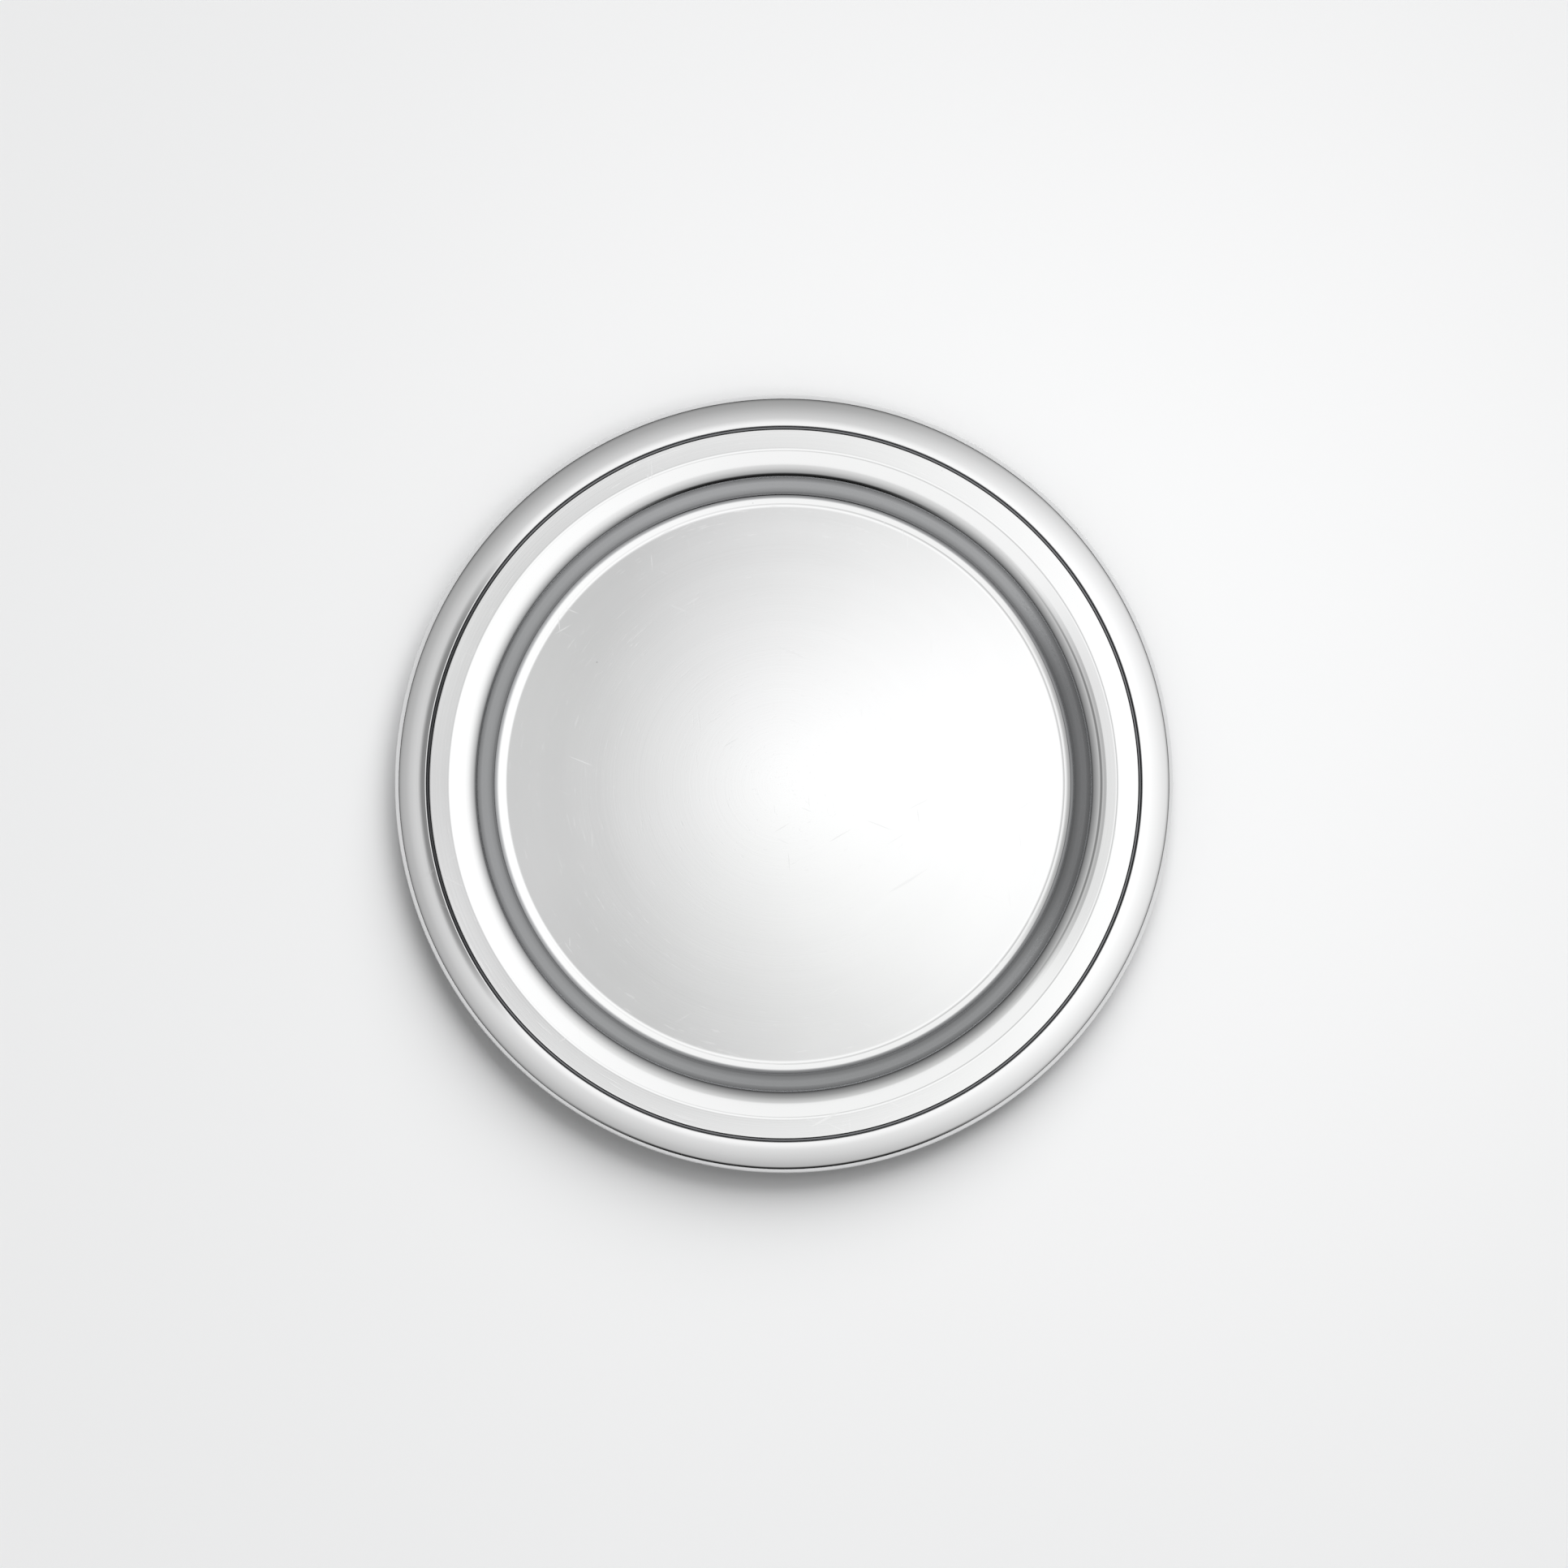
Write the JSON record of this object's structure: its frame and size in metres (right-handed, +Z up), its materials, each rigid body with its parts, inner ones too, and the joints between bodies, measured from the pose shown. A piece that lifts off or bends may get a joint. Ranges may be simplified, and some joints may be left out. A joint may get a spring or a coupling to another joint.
{
  "type": "paten plate",
  "caption": "Round polished steel paten: flat-bottomed well with steep wall and flange, and a separate convex rim band curled round a wire and closed over the dish's edge.",
  "frame": {"origin": "centre of the flat underside of the floor, on the surface the plate stands on", "axes": "+Z up along the axis of revolution, out of the well; +X and +Y are equivalent, because the plate is round"},
  "size_m": [0.15, 0.15, 0.0095],
  "materials": {
    "dish_steel": "mirror-polished stainless sheet with faint concentric spinning marks",
    "band_steel": "mirror-polished stainless sheet with fine lines round the rim",
    "wire_steel": "plain drawn wire"
  },
  "bodies": {
    "root": {"dish": "dish_steel", "rim_band": "band_steel", "rim_wire": "wire_steel"}
  },
  "joints": []
}
